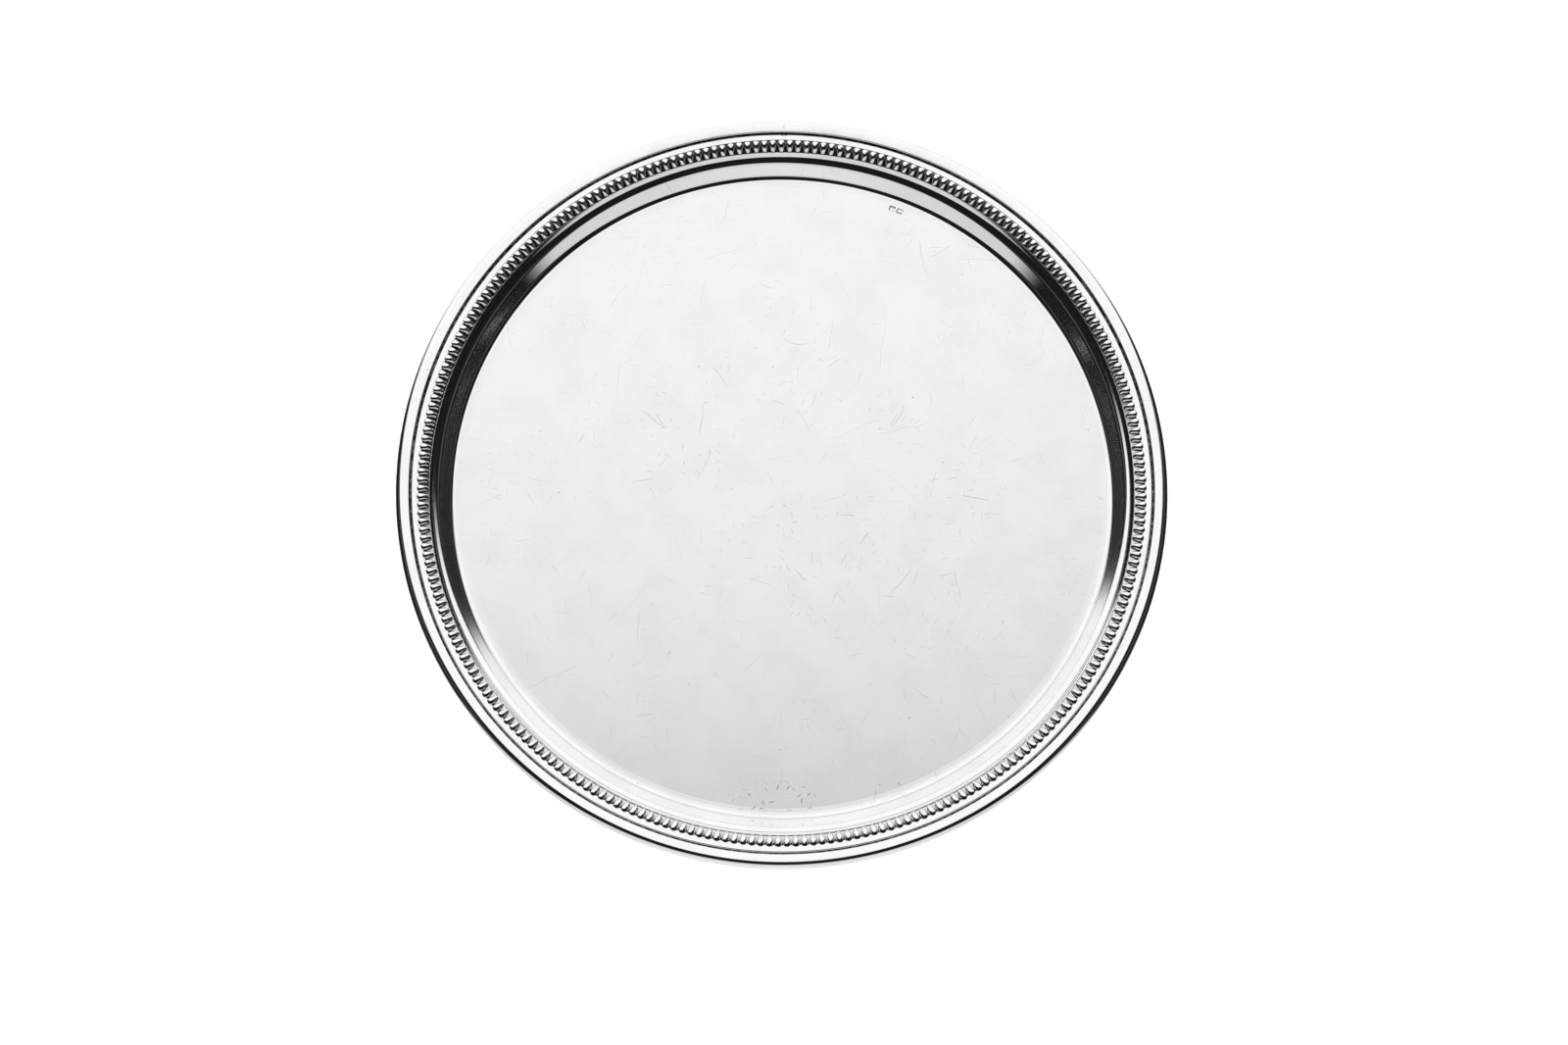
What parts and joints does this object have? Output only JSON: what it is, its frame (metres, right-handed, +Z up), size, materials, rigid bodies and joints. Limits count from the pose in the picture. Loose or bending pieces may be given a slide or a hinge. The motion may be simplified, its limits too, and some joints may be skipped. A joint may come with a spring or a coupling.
{
  "type": "round salver",
  "caption": "Round silver serving tray with a flat field, a low sloping wall and a narrow rim with an applied beaded border inside a plain outer moulding.",
  "frame": {"origin": "centre of the flat underside, on the resting plane", "axes": "+Z is up, out of the tray, along its axis; +Y points at the bead that stands over the moulding's joint, which is twelve o'clock"},
  "size_m": [0.305, 0.305, 0.0117],
  "materials": {
    "body_silver": "polished",
    "wire_silver": "polished",
    "bead_silver": "polished",
    "rim_silver": "polished"
  },
  "bodies": {
    "root": {"tray_body": "body_silver", "inner_wire": "wire_silver", "bead_border": "bead_silver", "rim_moulding": "rim_silver"}
  },
  "joints": []
}
